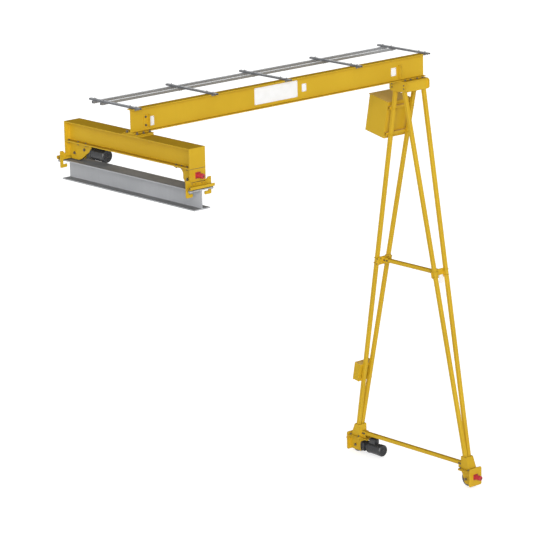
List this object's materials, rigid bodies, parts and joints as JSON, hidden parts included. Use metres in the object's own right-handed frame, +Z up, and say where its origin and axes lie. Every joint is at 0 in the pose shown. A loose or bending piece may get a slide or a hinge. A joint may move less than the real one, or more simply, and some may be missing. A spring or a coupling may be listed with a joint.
{
  "type": "single-leg gantry crane",
  "caption": "Single-leg gantry crane: an I-beam bridge between an end truck rolling on a runway beam and an A-frame leg on floor wheels, with geared drives, for carrying a hoist.",
  "frame": {"origin": "the middle of the runway beam's flat underside", "axes": "+X along the bridge from the end truck to the leg, +Y along the runway towards the driven wheels, +Z up"},
  "size_m": [5.149, 2.7265, 5.7503],
  "materials": {
    "yellow_paint": "semi-gloss",
    "runway_grey": "matt",
    "galvanised_steel": "spangled",
    "cabinet_paint": "satin",
    "gearbox_paint": "satin",
    "motor_paint": "satin",
    "wheel_steel": "machined tread",
    "roller_steel": "turned",
    "red_rubber": "matt"
  },
  "bodies": {
    "runway": {"runway_beam": "runway_grey"},
    "crane": {"truck_beam": "yellow_paint", "truck_housing_drive": "yellow_paint", "truck_housing_idle": "yellow_paint", "hook_plate_rear": "yellow_paint", "hook_plate_front": "yellow_paint", "bridge_seat_plate": "yellow_paint", "bridge_beam": "yellow_paint", "trolley_stop_truck_end": "yellow_paint", "trolley_stop_leg_end": "yellow_paint", "leg_head": "yellow_paint", "leg_tube_rear_in": "yellow_paint", "leg_tube_rear_out": "yellow_paint", "leg_tube_front_in": "yellow_paint", "leg_tube_front_out": "yellow_paint", "mid_bracket_rear": "yellow_paint", "mid_bracket_front": "yellow_paint", "mid_strut": "yellow_paint", "bottom_strut": "yellow_paint", "leg_foot_rear": "yellow_paint", "leg_foot_front": "yellow_paint", "floor_housing_drive": "yellow_paint", "floor_housing_idle": "yellow_paint", "festoon_arms": "galvanised_steel", "festoon_tracks": "galvanised_steel", "cabinet_rails": "cabinet_paint", "control_cabinet": "cabinet_paint", "small_box": "cabinet_paint", "truck_gearbox": "gearbox_paint", "floor_gearbox": "gearbox_paint", "truck_motor": "motor_paint", "floor_motor": "motor_paint", "truck_bumper_rear": "red_rubber", "truck_bumper_front": "red_rubber", "floor_bumper_rear": "red_rubber", "floor_bumper_front": "red_rubber"},
    "truck_wheel_drive_body": {"truck_wheel_drive": "wheel_steel"},
    "truck_wheel_idle_body": {"truck_wheel_idle": "wheel_steel"},
    "floor_wheel_drive_body": {"floor_wheel_drive": "wheel_steel"},
    "floor_wheel_idle_body": {"floor_wheel_idle": "wheel_steel"},
    "guide_roller_rear_out_body": {"guide_roller_rear_out": "roller_steel"},
    "guide_roller_rear_in_body": {"guide_roller_rear_in": "roller_steel"},
    "guide_roller_front_out_body": {"guide_roller_front_out": "roller_steel"},
    "guide_roller_front_in_body": {"guide_roller_front_in": "roller_steel"}
  },
  "joints": [
    {"name": "crane_travel", "type": "slide", "parent": "runway", "child": "crane", "axis": [0, 1, 0], "range_m": [-0.12, 0.12]},
    {"name": "truck_wheel_roll_drive", "type": "hinge", "parent": "crane", "child": "truck_wheel_drive_body", "pos_m": [0, 1.098, 0.3563], "axis": [1, 0, 0], "continuous": true},
    {"name": "truck_wheel_roll_idle", "type": "hinge", "parent": "crane", "child": "truck_wheel_idle_body", "pos_m": [0, -1.098, 0.3563], "axis": [1, 0, 0], "continuous": true},
    {"name": "floor_wheel_roll_drive", "type": "hinge", "parent": "crane", "child": "floor_wheel_drive_body", "pos_m": [4.651, 0.9835, -4.54], "axis": [1, 0, 0], "continuous": true},
    {"name": "floor_wheel_roll_idle", "type": "hinge", "parent": "crane", "child": "floor_wheel_idle_body", "pos_m": [4.651, -1.1735, -4.54], "axis": [1, 0, 0], "continuous": true},
    {"name": "guide_roller_rear_out_turn", "type": "hinge", "parent": "crane", "child": "guide_roller_rear_out_body", "pos_m": [0.16, 1.268, 0.247], "axis": [0, 0, 1], "continuous": true},
    {"name": "guide_roller_rear_in_turn", "type": "hinge", "parent": "crane", "child": "guide_roller_rear_in_body", "pos_m": [-0.16, 1.268, 0.247], "axis": [0, 0, 1], "continuous": true},
    {"name": "guide_roller_front_out_turn", "type": "hinge", "parent": "crane", "child": "guide_roller_front_out_body", "pos_m": [0.16, -1.268, 0.247], "axis": [0, 0, 1], "continuous": true},
    {"name": "guide_roller_front_in_turn", "type": "hinge", "parent": "crane", "child": "guide_roller_front_in_body", "pos_m": [-0.16, -1.268, 0.247], "axis": [0, 0, 1], "continuous": true}
  ],
  "couplings": [
    {"joint": "truck_wheel_roll_drive", "follows": "crane_travel", "rad_per_m": -9.8039},
    {"joint": "truck_wheel_roll_idle", "follows": "crane_travel", "rad_per_m": -9.8039},
    {"joint": "floor_wheel_roll_drive", "follows": "crane_travel", "rad_per_m": -9.8039},
    {"joint": "floor_wheel_roll_idle", "follows": "crane_travel", "rad_per_m": -9.8039}
  ]
}
